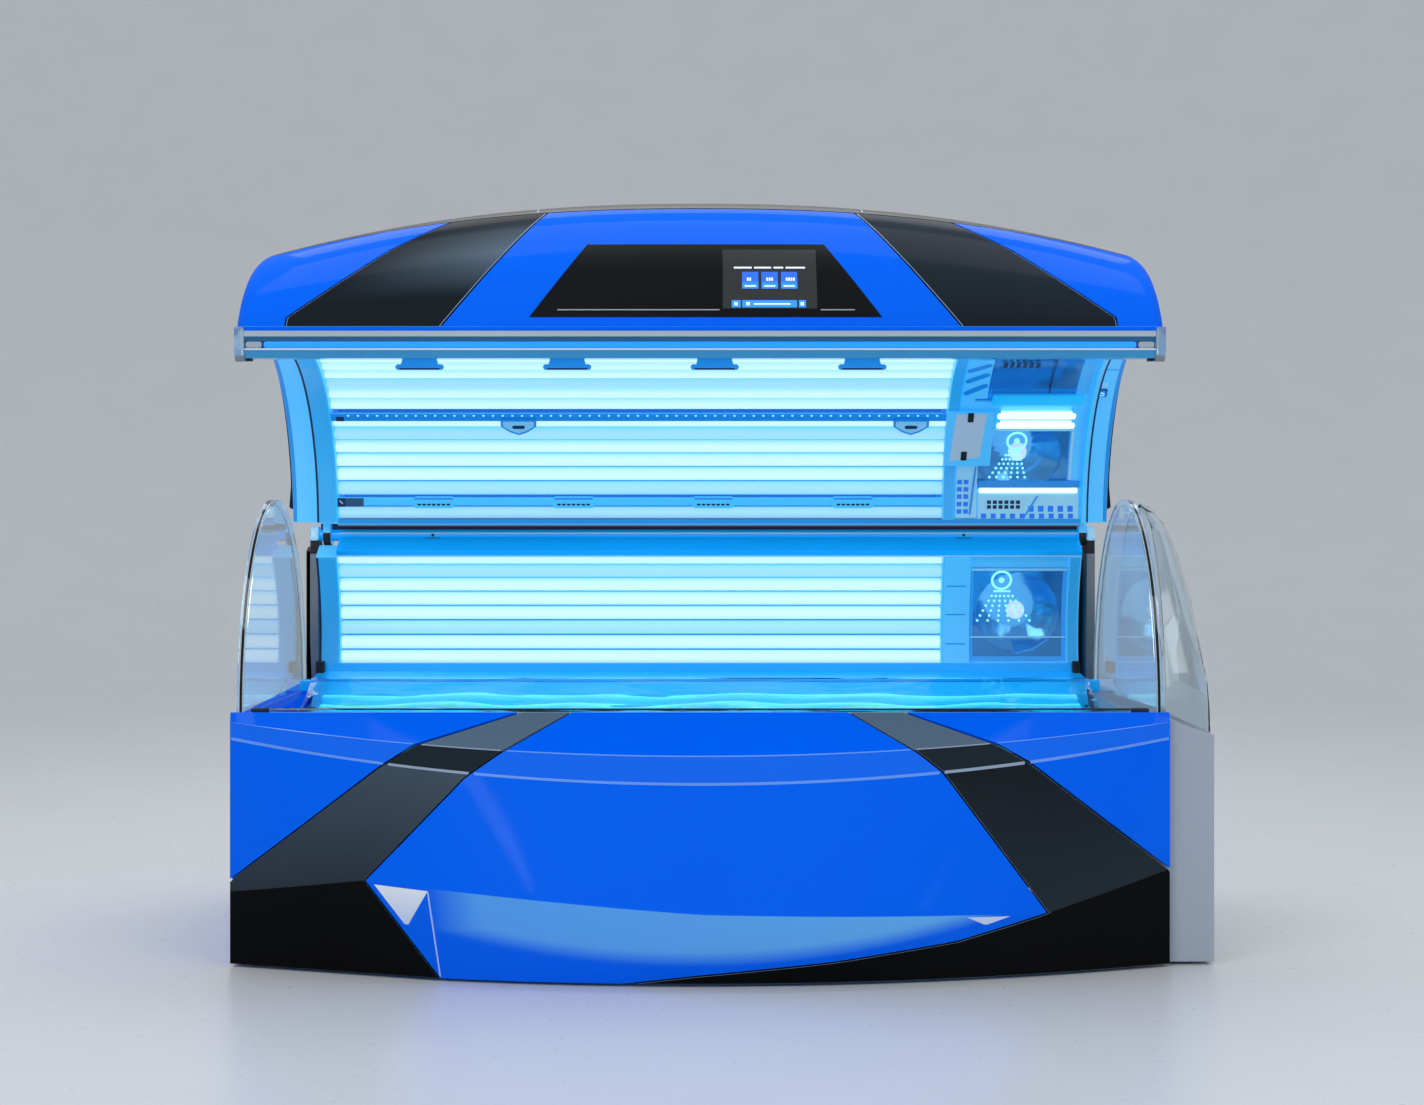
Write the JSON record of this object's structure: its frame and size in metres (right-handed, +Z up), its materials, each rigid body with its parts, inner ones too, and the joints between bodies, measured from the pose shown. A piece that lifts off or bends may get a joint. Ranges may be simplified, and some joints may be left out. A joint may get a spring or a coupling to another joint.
{
  "type": "clamshell tanning bed",
  "caption": "Lie-down tanning bed with a faceted base, a clear curved bench, lamp-lined tunnel halves, clear end shields and a hinged canopy that closes over the user.",
  "frame": {"origin": "on the floor under the middle of the bed's bounding box, with the canopy open", "axes": "+X to the head end (right in the picture), +Y to the back, +Z up"},
  "size_m": [2.414, 1.239, 1.921],
  "materials": {
    "blue_gloss": "high gloss",
    "black_satin": "satin",
    "clear_acrylic": "polished",
    "white_plastic": "satin",
    "grey_plastic": "satin",
    "steel_frame": "powder coat",
    "reflector": "polished",
    "lamp_glass": "phosphor coated",
    "light_bar": "translucent",
    "aluminium_rail": "anodised",
    "black_rubber": "matt",
    "screen_glass": "polished"
  },
  "bodies": {
    "base": {"base_frame": "steel_frame", "foot_front_left": "black_rubber", "foot_front_right": "black_rubber", "foot_rear_left": "black_rubber", "foot_rear_right": "black_rubber", "front_center_panel": "blue_gloss", "front_stripe_left": "black_satin", "front_stripe_right": "black_satin", "front_corner_left": "blue_gloss", "front_corner_right": "blue_gloss", "rear_cover": "black_satin", "end_cover_left": "blue_gloss", "end_housing_right": "grey_plastic", "base_reflector": "reflector", "base_lamps": "lamp_glass", "base_pane": "clear_acrylic", "base_end_plate_left": "white_plastic", "base_top_rail": "aluminium_rail", "bench_rear_rail": "aluminium_rail", "shoulder_frame": "white_plastic", "shoulder_glass": "clear_acrylic", "shoulder_reflector": "reflector", "shoulder_lamp": "lamp_glass", "bench_lamp_tray": "reflector", "bench_front_rail": "aluminium_rail", "hinge_tube": "aluminium_rail", "hinge_block_left": "black_satin", "hinge_block_right": "black_satin", "shield_left": "clear_acrylic", "shield_right": "clear_acrylic", "hood_right": "clear_acrylic"},
    "bench": {"bench_pane": "clear_acrylic"},
    "canopy": {"canopy_center_panel": "blue_gloss", "canopy_stripe_left": "black_satin", "canopy_stripe_right": "black_satin", "canopy_end_left": "blue_gloss", "canopy_end_right": "blue_gloss", "canopy_roof": "black_satin", "display_panel": "black_satin", "touchscreen": "screen_glass", "lip_rail": "aluminium_rail", "lip_light_bar": "light_bar", "lip_cap_left": "white_plastic", "lip_cap_right": "white_plastic", "canopy_frame": "steel_frame", "canopy_end_plate_left": "white_plastic", "canopy_end_plate_right": "white_plastic", "canopy_reflector": "reflector", "canopy_lamps": "lamp_glass", "canopy_pane": "clear_acrylic", "air_rail": "white_plastic", "light_strip": "white_plastic", "face_frame": "white_plastic", "face_glass": "clear_acrylic", "face_reflector": "reflector", "face_upper_reflector": "reflector", "face_lamp": "lamp_glass", "face_tubes": "lamp_glass", "control_panel": "white_plastic"},
    "button": {"start_button": "blue_gloss"}
  },
  "joints": [
    {"name": "canopy_hinge", "type": "hinge", "parent": "base", "child": "canopy", "pos_m": [0, 0.3405, 1.037], "axis": [1, 0, 0], "range_deg": [0, 50]},
    {"name": "bench_pane_lift", "type": "hinge", "parent": "base", "child": "bench", "pos_m": [0, 0.2155, 0.652], "axis": [-1, 0, 0], "range_deg": [0, 20]},
    {"name": "start_button_press", "type": "slide", "parent": "canopy", "child": "button", "axis": [0, 0.6884, 0.7254], "range_m": [0, 0.004], "stiffness_N_per_m": 600, "springref_m": -0.001}
  ]
}
